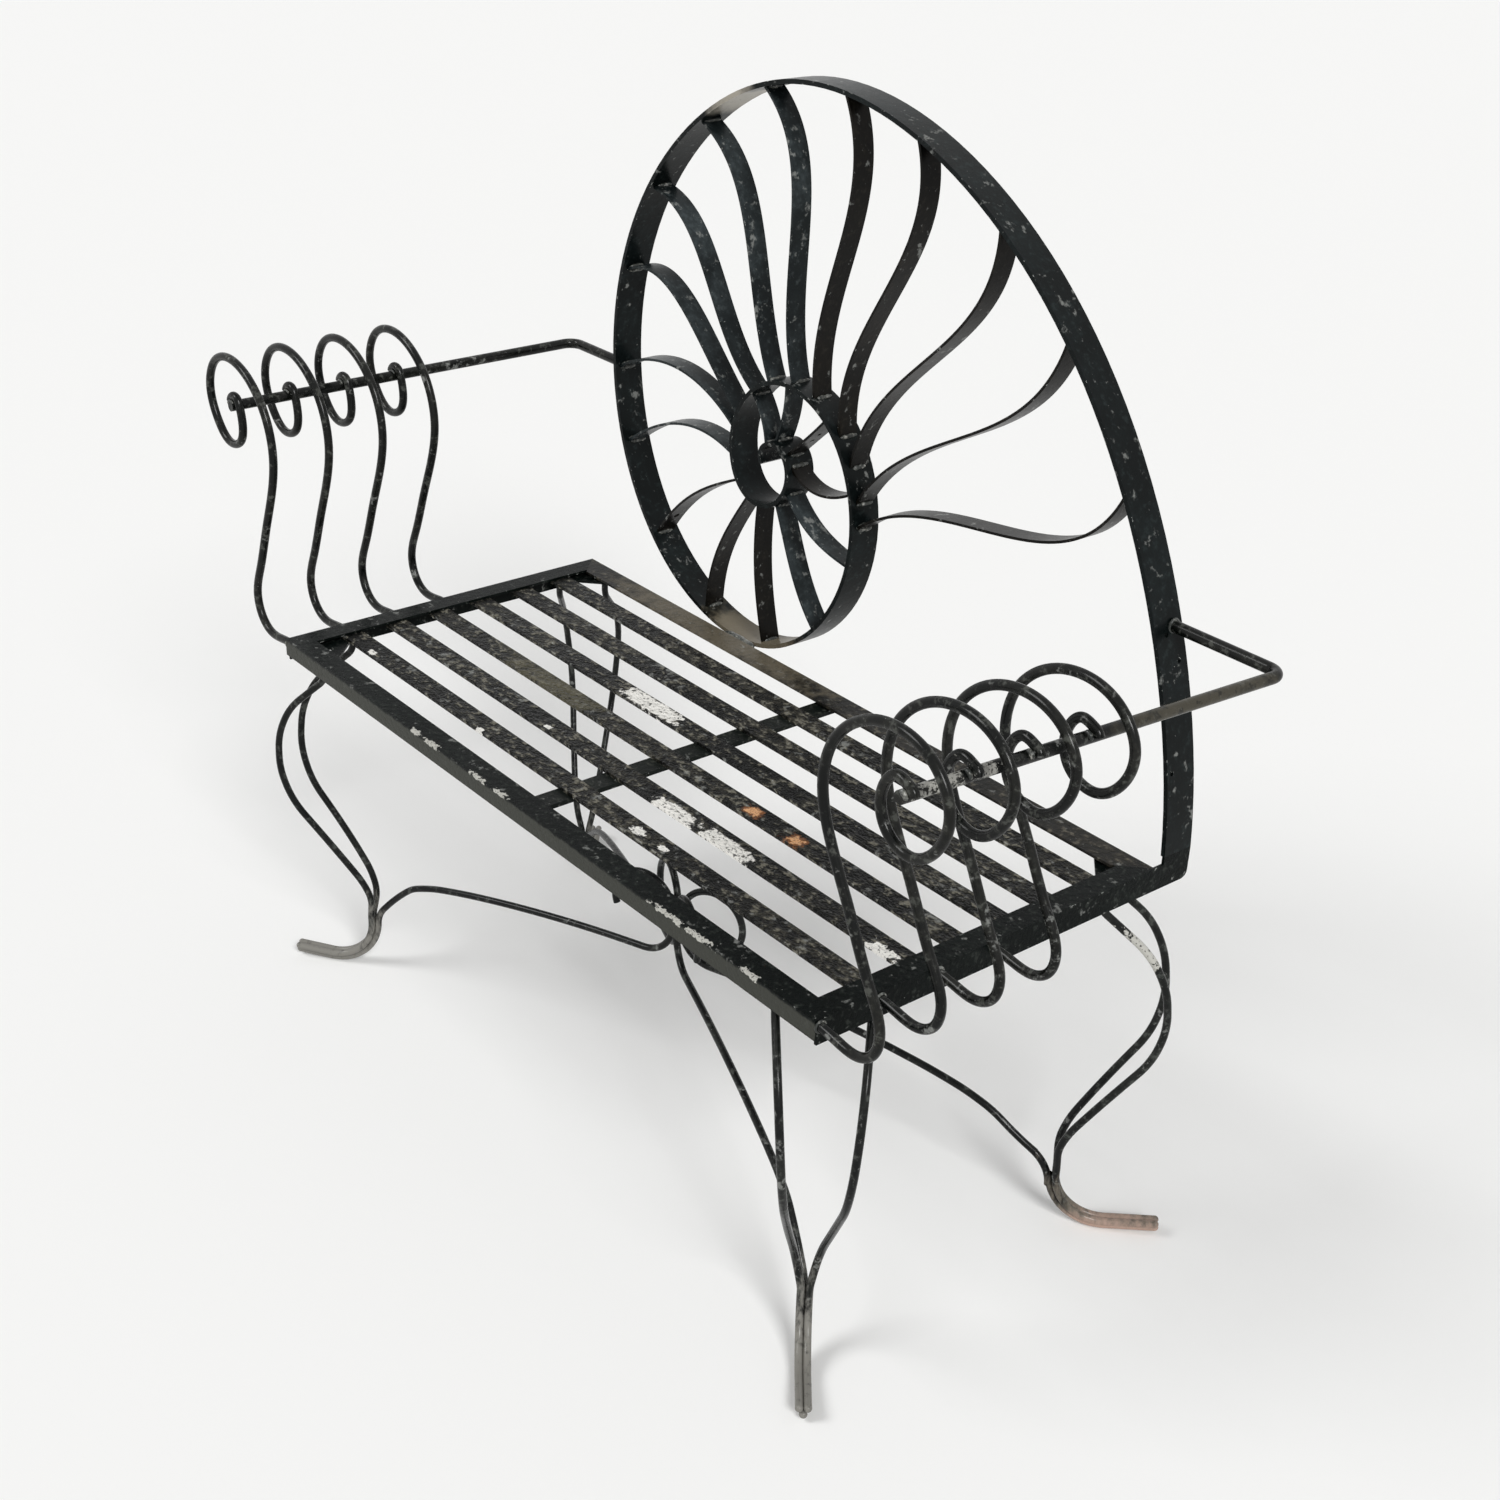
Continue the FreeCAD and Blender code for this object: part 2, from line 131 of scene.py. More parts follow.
def old_paint_group():
    """Brush paint on iron: faded patches, lumps with painted highlights and painted shade, chips that start
    at edges, rust, and small pale scuffs with painted glints.
    """
    group, given, out = new_group("old_paint", [
        ("Paint", COLOUR, screen(24, 27, 25)),
        ("Faded Paint", COLOUR, screen(60, 60, 54)),
        ("Lump Tops", COLOUR, screen(90, 86, 76)),
        ("Chip", COLOUR, screen(168, 170, 166)),
        ("Rust", COLOUR, screen(92, 62, 42)),
        ("Fading", VALUE, 0.5),
        ("Lumps", VALUE, 0.4),
        ("Lump Scale", VALUE, 120.0),
        ("Lump Detail", VALUE, 6.0),
        ("Edge Wear", VALUE, 0.5),
        ("Chipping", VALUE, 0.2),
        ("Rusting", VALUE, 0.2),
        ("Scuffs", VALUE, 0.2),
        ("Dullness", VALUE, 0.2),
        ("Stretch", VECTOR, (1, 1, 1)),
    ], [("Colour", COLOUR), ("Roughness", VALUE), ("Height", VALUE)])
    place = add_node(group, "TexCoord").outputs["Object"]
    drawn = reckon_places(group, "MULTIPLY", place, given["Stretch"])

    # An edge is where the normal, once rounded off, leans away from the face's own
    rounded = add_node(group, "Bevel", {"Radius": 0.002}, samples=4).outputs["Normal"]
    facing = add_node(group, "NewGeometry").outputs["Normal"]
    alike = add_node(group, "VectorMath", {0: rounded, 1: facing}, operation="DOT_PRODUCT").outputs["Value"]
    lean = rising(group, minus(group, 1.0, alike), low=0.004, high=0.14)
    edge = times(group, lean, given["Edge Wear"])

    # Faded patches, and the lumps of the coat: a painted highlight on their tops, painted shade in the
    # hollows
    fade_field = noise(group, place, scale=11.0, detail=6.0, roughness=0.62)
    patches = times(group, rising(group, fade_field, low=0.4, high=0.66), given["Fading"])
    lump_field = noise(group, drawn, given["Lump Scale"], given["Lump Detail"], roughness=0.62)
    lump = times(group, rising(group, lump_field, low=0.54, high=0.68), given["Lumps"])
    hollow_shade_field = minus(group, 1.0, lump_field)
    hollow_shade = times(group, rising(group, hollow_shade_field, low=0.46, high=0.58), given["Lumps"])

    # Chips, rust, scuffs and fine specks show where a noise of their own, lifted by how much there is of
    # each, is high
    full_lift = 0.3
    full_scuff_and_glint_lift = 0.25
    chip_lift = plus(group, times(group, edge, full_lift), times(group, given["Chipping"], full_lift))
    chip_field = noise(group, drawn, scale=150.0, detail=6.0, roughness=0.6)
    chip = rising(group, plus(group, chip_field, chip_lift), low=0.77, high=0.79)
    rust_lift = times(group, given["Rusting"], full_lift)
    rust_field = noise(group, place, scale=46.0, detail=7.0, roughness=0.7)
    rust = rising(group, plus(group, rust_field, rust_lift), low=0.72, high=0.84)
    scuff_and_glint_lift = times(group, given["Scuffs"], full_scuff_and_glint_lift)
    # Fine pale specks: flecks of paint together with painted glints on the coat
    fleck_and_glint_field = noise(group, drawn, scale=240.0, detail=3.0, roughness=0.55)
    fleck_and_glint = rising(group, plus(group, fleck_and_glint_field, scuff_and_glint_lift), low=0.81, high=0.85)
    cluster_field = noise(group, place, scale=14.0, detail=2.0, roughness=0.5)
    cluster_lift = plus(group, times(group, cluster_field, full_lift), scuff_and_glint_lift)
    smudge_field = noise(group, place, scale=85.0, detail=5.0, roughness=0.62)
    smudge = rising(group, plus(group, smudge_field, cluster_lift), low=0.84, high=0.95)
    scuff_and_glint_strength = 0.42
    scuff_and_glint = times(group, larger(group, fleck_and_glint, smudge), scuff_and_glint_strength)

    colour = laid_over(group, patches, given["Paint"], given["Faded Paint"])
    # Painted shade: the hollows between the lumps are darkened back to the plain paint
    colour = laid_over(group, hollow_shade, colour, given["Paint"])
    # Painted highlight: the tops of the lumps take a paler colour
    colour = laid_over(group, lump, colour, given["Lump Tops"])
    colour = laid_over(group, rust, colour, given["Rust"])
    # Scuffs and specks take the chip colour; the specks are partly painted glints
    colour = laid_over(group, scuff_and_glint, colour, given["Chip"])
    colour = laid_over(group, chip, colour, given["Chip"])

    lump_dullness = 0.22
    bare_dullness = 0.25
    rough = plus(group, given["Dullness"], times(group, lump_field, lump_dullness))
    rough = plus(group, rough, times(group, larger(group, chip, rust), bare_dullness))

    chip_depth = 0.2
    grain_height = 0.06
    grain = noise(group, place, scale=800.0, detail=3.0, roughness=0.6)
    height = minus(group, times(group, lump_field, given["Lumps"]), times(group, chip, chip_depth))
    height = plus(group, height, times(group, grain, grain_height))

    group.links.new(colour, out["Colour"])
    group.links.new(rough, out["Roughness"])
    group.links.new(height, out["Height"])
    return group


old_paint = old_paint_group()


def painted_iron(name, relief, gloss, specular, **paint):
    """Old painted iron: relief is the depth of its lumps in metres, gloss the weight of a shiny skin."""
    material = bpy.data.materials.new(name)
    material.use_nodes = True
    tree = material.node_tree
    values = {label.replace("_", " ").title(): value for label, value in paint.items()}
    coat = add_node(tree, "Group", values, node_tree=old_paint).outputs
    bump = add_node(tree, "Bump", {"Height": coat["Height"], "Distance": relief, "Strength": 0.9})
    sockets = tree.nodes["Principled BSDF"].inputs
    tree.links.new(coat["Colour"], sockets["Base Color"])
    tree.links.new(coat["Roughness"], sockets["Roughness"])
    tree.links.new(bump.outputs["Normal"], sockets["Normal"])
    sockets["Specular IOR Level"].default_value = specular
    sockets["Coat Weight"].default_value = gloss
    sockets["Coat Roughness"].default_value = 0.18
    return material


def dress(names, material, edge_radius=0.0):
    """The CAD nodes take this material, and their sharp edges a small round that catches the light."""
    sharp_angle = 40
    for name in names:
        piece = nodes[name]
        piece.data.materials.clear()
        piece.data.materials.append(material)
        if edge_radius:
            rounding = piece.modifiers.new("edge_round", "BEVEL")
            rounding.width = edge_radius
            rounding.segments = 2
            rounding.limit_method = "ANGLE"
            rounding.angle_limit = math.radians(sharp_angle)


def worn_spot_group():
    """Mask of a ragged spot: 1 within its half size of the centre, broken up by flakes and pits."""
    group, given, out = new_group("worn_spot", [
        ("Centre", VECTOR, (0, 0, 0)),
        ("Half Size", VECTOR, (1, 1, 1)),
        ("Flake Scale", VALUE, 260.0),
        ("Broken", VALUE, 0.5),
        ("Soft", VALUE, 0.15),
        ("Pitted", VALUE, 0.0),
    ], [("Mask", VALUE)])
    place = add_node(group, "TexCoord").outputs["Object"]

    # Squaring the shares of the half size before they are added gives the spot full, squarish corners
    offset = reckon_places(group, "SUBTRACT", place, given["Centre"])
    share = reckon_places(group, "DIVIDE", offset, given["Half Size"])
    squared = reckon_places(group, "MULTIPLY", share, share)
    length = add_node(group, "VectorMath", {0: squared}, operation="LENGTH").outputs["Value"]
    reach = reckon(group, "POWER", length, 0.5)

    edge_flake_share = 0.45
    edge_flake_reach = 5.0
    edge_scale = times(group, given["Flake Scale"], edge_flake_share)
    edge_flakes = minus(group, noise(group, place, edge_scale, detail=5.0, roughness=0.6), 0.5)
    ragged = times(group, times(group, edge_flakes, edge_flake_reach), given["Broken"])
    rim = rising(group, plus(group, reach, ragged), low=minus(group, 1.0, given["Soft"]), high=1.0)
    pit_field = noise(group, place, given["Flake Scale"], detail=5.0, roughness=0.65)
    pits = times(group, rising(group, pit_field, low=0.54, high=0.62), given["Pitted"])
    mask = times(group, minus(group, 1.0, rim), minus(group, 1.0, pits))
    group.links.new(mask, out["Mask"])
    return group


worn_spot = worn_spot_group()


def lay_colour(material, mask, colour):
    """Lays another colour over what the material shows so far, where the mask says."""
    tree = material.node_tree
    base_colour = tree.nodes["Principled BSDF"].inputs["Base Color"]
    under = base_colour.links[0].from_socket
    tree.links.new(laid_over(tree, mask, under, colour), base_colour)


def lay_spot(material, centre, half_size, colour, broken, flake_scale, soft=0.15, share=1.0, pitted=0.0):
    """Lays one worn spot of another colour over a painted material."""
    tree = material.node_tree
    values = {"Centre": centre, "Half Size": half_size, "Flake Scale": flake_scale,
              "Broken": broken, "Soft": soft, "Pitted": pitted}
    spot = add_node(tree, "Group", values, node_tree=worn_spot)
    lay_colour(material, times(tree, spot.outputs["Mask"], share), colour)


rail_low, rail_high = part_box("front_rail")
seat_middle = (rail_low.x + rail_high.x) / 2
seat_front = rail_low.y
seat_top = rail_high.z


def on_seat(along, depth):
    """A point of the seat's top, metres from its middle and from its front edge."""
    return Vector((seat_middle + along, seat_front + depth, seat_top))


white_primer = screen(236, 234, 228)
bared_grey = screen(186, 185, 178)
frame_edge_round = 0.0006
frame_values = dict(
    relief=0.0014, gloss=0.0, specular=0.04,
    paint=screen(7, 11, 10), faded_paint=screen(22, 27, 25), lump_tops=screen(58, 62, 58),
    fading=0.4, lumps=0.5, lump_scale=150.0, edge_wear=0.35, chipping=0.12, rusting=0.04, scuffs=0.32,
    dullness=0.18)
frame_paint = painted_iron("frame_paint", **frame_values)
dress(["left_end_rail", "right_end_rail", "gusset_front_left", "gusset_back_left", "gusset_back_right"],
      frame_paint, frame_edge_round)

# The front rail's face is laid paler than its flange, and its top edge is chipped in a few places
front_rail_paint = painted_iron("front_rail_paint", **frame_values)
face_spot_forward = 0.0005
face_spot_drop = 0.0012
face_middle = Vector((seat_middle, seat_front - face_spot_forward, (rail_low.z + seat_top) / 2 - face_spot_drop))
lay_spot(front_rail_paint, face_middle, (1.0, 0.002, 0.0105), screen(64, 65, 60),
         broken=0.12, flake_scale=200.0, soft=0.3, share=0.92)
edge_chip_depth = 0.0012
edge_chips = ((-0.182, 0.009), (-0.15, 0.012), (-0.063, 0.014), (-0.018, 0.012), (0.262, 0.022),
              (0.309, 0.018), (0.38, 0.012))
for along, half_length in edge_chips:
    lay_spot(front_rail_paint, on_seat(along, edge_chip_depth), (half_length, 0.0032, 0.003), bared_grey,
             broken=0.8, flake_scale=420.0, pitted=1.0)
dress(["front_rail"], front_rail_paint, frame_edge_round)

# The back rail is browner, with dust on its left half under the shell
back_rail_paint = painted_iron(
    "back_rail_paint", relief=0.0014, gloss=0.0, specular=0.06,
    paint=screen(20, 20, 18), faded_paint=screen(58, 54, 46), lump_tops=screen(100, 95, 84),
    fading=0.6, lumps=0.7, lump_scale=120.0, edge_wear=0.3, chipping=0.14, rusting=0.16, scuffs=0.34)
brown_dust_and_sunlight = screen(112, 104, 88)
lay_spot(back_rail_paint, on_seat(along=-0.2, depth=0.42), (0.24, 0.04, 0.03), brown_dust_and_sunlight,
         broken=0.3, flake_scale=120.0, soft=0.6, share=0.6, pitted=0.8)
dress(["back_rail"], back_rail_paint, frame_edge_round)


# Seat slats and crossbar
# Flat bars tacked under the end flanges, with one bar across below them. Years of repainting over rust
# have left a thick lumpy coat; on two slats it has come off down to white primer, and one has open rust.
# Painted highlight on the lump tops, painted shade in the hollows, and painted glints among the fine pale
# specks
slat_paint = painted_iron(
    "slat_paint", relief=0.006, gloss=0.0, specular=0.07,
    paint=screen(10, 11, 10), faded_paint=screen(56, 54, 47), lump_tops=screen(112, 109, 98),
    fading=0.75, lumps=1.0, lump_scale=150.0, lump_detail=2.5, edge_wear=0.3, chipping=0.24, rusting=0.1,
    scuffs=0.4, stretch=(0.7, 1, 1))
slat_edge_round = 0.0008
slat_half_width = 0.0125
spot_half_height = 0.02
primer_patches = ((-0.094, 0.2475, 0.05), (0.108, 0.1225, 0.034), (0.19, 0.1225, 0.04))
for along, depth, half_length in primer_patches:
    half_size = (half_length, slat_half_width, spot_half_height)
    lay_spot(slat_paint, on_seat(along, depth), half_size, white_primer,
             broken=0.3, flake_scale=260.0, pitted=0.9)
chip_breadth = 0.6
small_chips = ((-0.387, 0.066, 0.007), (-0.154, 0.062, 0.007), (-0.117, 0.125, 0.006), (0.119, 0.072, 0.01),
               (0.161, 0.071, 0.007), (0.418, 0.121, 0.016), (0.443, 0.116, 0.01))
for along, depth, half_length in small_chips:
    half_size = (half_length, half_length * chip_breadth, spot_half_height)
    lay_spot(slat_paint, on_seat(along, depth), half_size, white_primer,
             broken=0.5, flake_scale=300.0, pitted=0.8)
rust_spots = ((0.155, 0.188), (0.223, 0.186))
for along, depth in rust_spots:
    lay_spot(slat_paint, on_seat(along, depth), (0.014, 0.01, spot_half_height), screen(126, 82, 52),
             broken=0.5, flake_scale=300.0, soft=0.4, pitted=0.6)
    lay_spot(slat_paint, on_seat(along, depth), (0.009, 0.007, spot_half_height), screen(220, 168, 122),
             broken=0.6, flake_scale=400.0, soft=0.3, pitted=0.8)
lay_spot(slat_paint, on_seat(along=-0.2, depth=0.19), (0.12, 0.03, spot_half_height), screen(92, 88, 70),
         broken=0.4, flake_scale=120.0, soft=0.7, share=0.6, pitted=0.9)
dress(["slat_%d" % number for number in range(1, 7)], slat_paint, slat_edge_round)

crossbar_paint = painted_iron(
    "crossbar_paint", relief=0.0014, gloss=0.0, specular=0.06,
    paint=screen(13, 17, 15), faded_paint=screen(33, 36, 33), lump_tops=screen(70, 72, 66),
    fading=0.5, lumps=0.6, lump_scale=140.0, edge_wear=0.4, chipping=0.1, rusting=0.08, scuffs=0.34)
dress(["crossbar"], crossbar_paint, slat_edge_round)


# Shell back
# One flat bar bent flatwise to a spiral, and thin strips bent to curved ribs between its whorls. Satin black
# brush paint, bluish on half of the ribs and brown-black on the rest, with small pale scuffs and fine pale
# specks that are partly painted glints.
band_paint = painted_iron(
    "band_paint", relief=0.0006, gloss=0.06, specular=0.06,
    paint=screen(9, 13, 13), faded_paint=screen(24, 31, 32), lump_tops=screen(42, 50, 50),
    fading=0.5, lumps=0.4, lump_scale=130.0, edge_wear=0.45, chipping=0.06, rusting=0.0, scuffs=0.32)
band_edge_round = 0.0007
rib_edge_round = 0.0004

# The bottom of the spiral is brown, dust together with painted sunlight on its upward faces
# One stretch near its top is painted beige: painted bounce light from the ground on the top whorl's underside
band_low, band_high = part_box("shell_band")
shell_bottom = Vector((seat_middle - 0.165, (band_low.y + band_high.y) / 2, seat_top + 0.006))
painted_bounce_light_centre = shell_bottom + Vector((-0.069, 0, 0.594))
lay_spot(band_paint, shell_bottom, (0.1, 0.04, 0.05), brown_dust_and_sunlight,
         broken=0.2, flake_scale=120.0, soft=0.5, share=0.85)
lay_spot(band_paint, painted_bounce_light_centre, (0.047, 0.04, 0.036), screen(170, 164, 152),
         broken=0.15, flake_scale=90.0, soft=0.6, share=0.85)
dress(["shell_band"], band_paint, band_edge_round)

grey_rib_paint = painted_iron(
    "grey_rib_paint", relief=0.0006, gloss=0.06, specular=0.06,
    paint=screen(20, 25, 26), faded_paint=screen(57, 64, 66), lump_tops=screen(73, 80, 81),
    fading=0.85, lumps=0.4, lump_scale=130.0, edge_wear=0.4, chipping=0.05, rusting=0.02, scuffs=0.42)
dark_rib_paint = painted_iron(
    "dark_rib_paint", relief=0.0006, gloss=0.06, specular=0.06,
    paint=screen(11, 10, 8), faded_paint=screen(29, 26, 21), lump_tops=screen(46, 43, 37),
    fading=0.6, lumps=0.4, lump_scale=130.0, edge_wear=0.35, chipping=0.05, rusting=0.06, scuffs=0.32)
dark_ribs = ["rib_%02d" % number for number in (1, 2, 3, 4, 5, 12, 13, 14, 17, 18)]
grey_ribs = [name for name in nodes if name.startswith("rib_") and name not in dark_ribs]
dress(dark_ribs, dark_rib_paint, rib_edge_round)
dress(grey_ribs, grey_rib_paint, rib_edge_round)


# Shell welds
# Short runs of arc weld hold each rib end to the band, one along either face, and a thick run ties the
# bottom of the shell to the back rail. They are lumpy and painted over, worn pale, and the tops of their
# lumps carry a painted highlight.
weld_paint = painted_iron(
    "weld_paint", relief=0.0004, gloss=0.05, specular=0.3,
    paint=screen(40, 43, 41), faded_paint=screen(112, 113, 107), lump_tops=screen(172, 171, 163),
    fading=0.8, lumps=0.8, lump_scale=220.0, edge_wear=0.0, chipping=0.3, rusting=0.05, scuffs=0.5)
weld_chance = random.Random(11)
along_z = Vector((0, 0, 1))


def lumpy_run(skin, path, upright, radius, closed=False, flatten=1.0):
    """Weld metal laid along a path: a closed skin whose thickness swells and shrinks from point to point."""
    sides = 8
    thinnest, thickest = 0.82, 1.2
    flattest, roundest = 0.93, 1.07
    end_tapers = (0.35, 0.8)
    count = len(path)
    rings = []
    for index, point in enumerate(path):
        before = path[index - 1] if closed or index else point
        after = path[(index + 1) % count] if closed or index + 1 < count else point
        across = (after - before).cross(upright).normalized()
        up = across.cross(after - before).normalized()
        to_end = min(index, count - 1 - index)
        thick = radius * weld_chance.uniform(thinnest, thickest)
        if not closed and to_end < len(end_tapers):
            thick *= end_tapers[to_end]
        ring = []
        for number in range(sides):
            turn = 2 * math.pi * number / sides
            bulge = thick * weld_chance.uniform(flattest, roundest)
            sideways = across * math.cos(turn) * bulge
            upwards = up * math.sin(turn) * bulge * flatten
            ring.append(skin.verts.new(point + sideways + upwards))
        rings.append(ring)
    for index in range(count if closed else count - 1):
        ring = rings[index]
        next_ring = rings[(index + 1) % count]
        for number in range(sides):
            beside = (number + 1) % sides
            skin.faces.new((ring[number], ring[beside], next_ring[beside], next_ring[number]))
    if not closed:
        skin.faces.new(rings[0][::-1])
        skin.faces.new(rings[-1])


def straight_path(start, end, spacing):
    """Points from start to end, about this far apart."""
    steps = max(4, round((end - start).length / spacing))
    return [start.lerp(end, number / steps) for number in range(steps + 1)]


def weld_piece(name, skin):
    """Makes the runs in this skin one smooth welded piece that belongs to the bench."""
    bmesh.ops.recalc_face_normals(skin, faces=skin.faces)
    mesh = bpy.data.meshes.new(name)
    skin.to_mesh(mesh)
    skin.free()
    mesh.shade_smooth()
    mesh.materials.append(weld_paint)
    piece = bpy.data.objects.new(name, mesh)
    bpy.context.scene.collection.objects.link(piece)
    smoother = piece.modifiers.new("soft_lumps", "SUBSURF")
    smoother.levels = 1
    smoother.render_levels = 1
    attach(piece, "root")
    return piece


def surface_of(name):
    """A node's surface, to be asked what lies near it."""
    mesh = nodes[name].data
    corners = [vertex.co for vertex in mesh.vertices]
    faces = [face.vertices for face in mesh.polygons]
    return BVHTree.FromPolygons(corners, faces)


def touching_points(name, surface):
    """Points of a node's mesh that lie on another node's surface."""
    touch = 0.0006
    return [vertex.co for vertex in nodes[name].data.vertices if surface.find_nearest(vertex.co, touch)[0]]


def farthest_pair(points):
    """Two points at opposite ends of the group."""
    first = max(points, key=lambda point: (point - points[0]).length)
    return first, max(points, key=lambda point: (point - first).length)


def flat(point):
    """The point seen from the front, with no depth."""
    return Vector((point.x, 0, point.z))


# A rib's mesh touches the band at both its ends; at each, the two far corners are its two faces
band_surface = surface_of("shell_band")
rib_weld_radius = 0.0028
rib_weld_spacing = 0.0022
rib_weld_stand_off = 0.0005
rib_weld_trim = 0.004
rib_welds = bmesh.new()
for name in dark_ribs + grey_ribs:
    rib_low, rib_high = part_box(name)
    ends = touching_points(name, band_surface)
    one_end, other_end = farthest_pair(ends)
    for here, there in ((one_end, other_end), (other_end, one_end)):
        corners = [flat(point) for point in ends if (point - here).length < (point - there).length]
        faces = farthest_pair(corners)
        for corner, opposite in (faces, faces[::-1]):
            foot = corner + (corner - opposite).normalized() * rib_weld_stand_off
            front_trim = weld_chance.uniform(0.0, rib_weld_trim)
            back_trim = weld_chance.uniform(0.0, rib_weld_trim)
            start = foot + Vector((0, rib_low.y + front_trim, 0))
            end = foot + Vector((0, rib_high.y - back_trim, 0))
            lumpy_run(rib_welds, straight_path(start, end, rib_weld_spacing), along_z, rib_weld_radius)
weld_piece("rib_welds", rib_welds)

weld_low, weld_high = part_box("shell_weld")
weld_centre = (weld_low + weld_high) / 2
weld_half_width = (weld_high.y - weld_low.y) / 2
weld_half_depth = (weld_high.z - weld_low.z) / 2
weld_start = Vector((weld_low.x, weld_centre.y, weld_centre.z))
weld_end = Vector((weld_high.x, weld_centre.y, weld_centre.z))
shell_run_spacing = 0.004
shell_run = bmesh.new()
lumpy_run(shell_run, straight_path(weld_start, weld_end, shell_run_spacing), along_z, weld_half_width,
          flatten=weld_half_depth / weld_half_width)
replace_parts(weld_piece("shell_weld_run", shell_run), "shell_weld")


# Arms
# Round bar bent cold to a long S that ends in a scroll and hooks over the rail; four a side, welded to the
# end rails. The rails turn in at the back and end on the shell. Glossy black, with pale flecks, worn paint
# together with a painted highlight on the tops of the coat's lumps.
arm_paint = painted_iron(
    "arm_paint", relief=0.0012, gloss=0.3, specular=0.03,
    paint=screen(6, 8, 7), faded_paint=screen(38, 38, 34), lump_tops=screen(84, 86, 81),
    fading=0.6, lumps=0.6, lump_scale=110.0, lump_detail=4.0, edge_wear=0.0, chipping=0.1, rusting=0.03,
    scuffs=0.3, dullness=0.14)
arm_scrolls = [name for name in nodes if name.startswith("arm_scroll_")]
dress(["arm_rail_left", "arm_rail_right"] + arm_scrolls, arm_paint)
arm_rod_radius = 0.00475
arm_rail_radius = 0.006

# On the right arm the rail is dusty brown behind the scrolls and flaked to pale grey beside the first hooks
right_low, right_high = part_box("arm_rail_right")
rail_front = Vector((right_high.x - arm_rail_radius, right_low.y, (right_low.z + right_high.z) / 2))
dust_behind = 0.355
lay_spot(arm_paint, rail_front + Vector((0, dust_behind, 0)), (0.02, 0.13, 0.03), screen(76, 72, 61),
         broken=0.25, flake_scale=120.0, soft=0.6, share=0.7, pitted=0.6)
rail_flakes = ((0.022, 0.012), (0.052, 0.014), (0.09, 0.01))
for behind, half_length in rail_flakes:
    lay_spot(arm_paint, rail_front + Vector((0, behind, 0)), (0.014, half_length, 0.02), bared_grey,
             broken=1.0, flake_scale=420.0, soft=0.3, share=0.6, pitted=1.0)


def ring_path(centre, axis, radius):
    """Points once round a bar."""
    points_round = 16
    across = axis.orthogonal().normalized()
    up = axis.cross(across).normalized()
    turns = [2 * math.pi * number / points_round for number in range(points_round)]
    return [centre + (across * math.cos(turn) + up * math.sin(turn)) * radius for turn in turns]


# A ring of weld round each scroll's foot, and an arc on either side of its hook, over the rail
along_x = Vector((1, 0, 0))
along_y = Vector((0, 1, 0))
ring_stand_off = 0.0006
foot_drop = 0.007
foot_stand_off = 0.0008
foot_weld_radius = 0.0016
hook_stand_off = 0.0004
hook_weld_step = 12
hook_weld_end = {"left": 150, "right": 100}
hook_weld_radius = {"left": 0.0016, "right": 0.0028}
rail_end_weld_radius = 0.002
arm_welds = bmesh.new()
for name in arm_scrolls:
    side = name.split("_")[2]
    outward = -1 if side == "left" else 1
    end_low, end_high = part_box(side + "_end_rail")
    scroll_low, scroll_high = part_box(name)
    rail_face = end_low.x if side == "left" else end_high.x
    scroll_y = (scroll_low.y + scroll_high.y) / 2
    foot = Vector((rail_face + outward * foot_stand_off, scroll_y, seat_top - foot_drop))
    foot_ring = ring_path(foot, along_x, arm_rod_radius + ring_stand_off)
    lumpy_run(arm_welds, foot_ring, along_x, foot_weld_radius, closed=True)
    arm_low, arm_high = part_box("arm_rail_" + side)
    share = (scroll_y - arm_low.y) / (arm_high.y - arm_low.y)
    front_height = arm_high.z - arm_rail_radius
    back_height = arm_low.z + arm_rail_radius
    arm_x = arm_low.x + arm_rail_radius if side == "left" else arm_high.x - arm_rail_radius
    arm_z = front_height + (back_height - front_height) * share
    for beside in (-1, 1):
        hook = Vector((arm_x, scroll_y + beside * (arm_rod_radius + hook_stand_off), arm_z))
        path = []
        for degrees in range(0, hook_weld_end[side], hook_weld_step):
            turn = math.radians(degrees)
            over_rail = Vector((outward * math.cos(turn), 0, math.sin(turn)))
            path.append(hook + over_rail * (arm_rail_radius + hook_stand_off))
        lumpy_run(arm_welds, path, along_y, hook_weld_radius[side])
for side in ("left", "right"):
    ends = touching_points("arm_rail_" + side, band_surface)
    centre = sum(ends, Vector()) / len(ends)
    end_ring = ring_path(centre, along_x, arm_rail_radius + ring_stand_off)
    lumpy_run(arm_welds, end_ring, along_x, rail_end_weld_radius, closed=True)
weld_piece("arm_welds", arm_welds)


# Legs and stretchers
# Round bar again: two bars a leg, bent out and back to one ankle, with the stretcher's end as the third bar
# of the foot. The feet are worn down to grey iron, and the back right one is rusty at the toe.
# As on the arms, the pale lump tops of the coat are a painted highlight
leg_values = dict(
    relief=0.0012, gloss=0.3, specular=0.03,
    paint=screen(6, 8, 8), faded_paint=screen(40, 42, 39), lump_tops=screen(80, 83, 79),
    fading=0.65, lumps=0.6, lump_scale=100.0, lump_detail=4.0, edge_wear=0.0, chipping=0.1, rusting=0.05,
    scuffs=0.3, dullness=0.14)
leg_paint = painted_iron("leg_paint", **leg_values)
rusty_leg_paint = painted_iron("rusty_leg_paint", **leg_values)


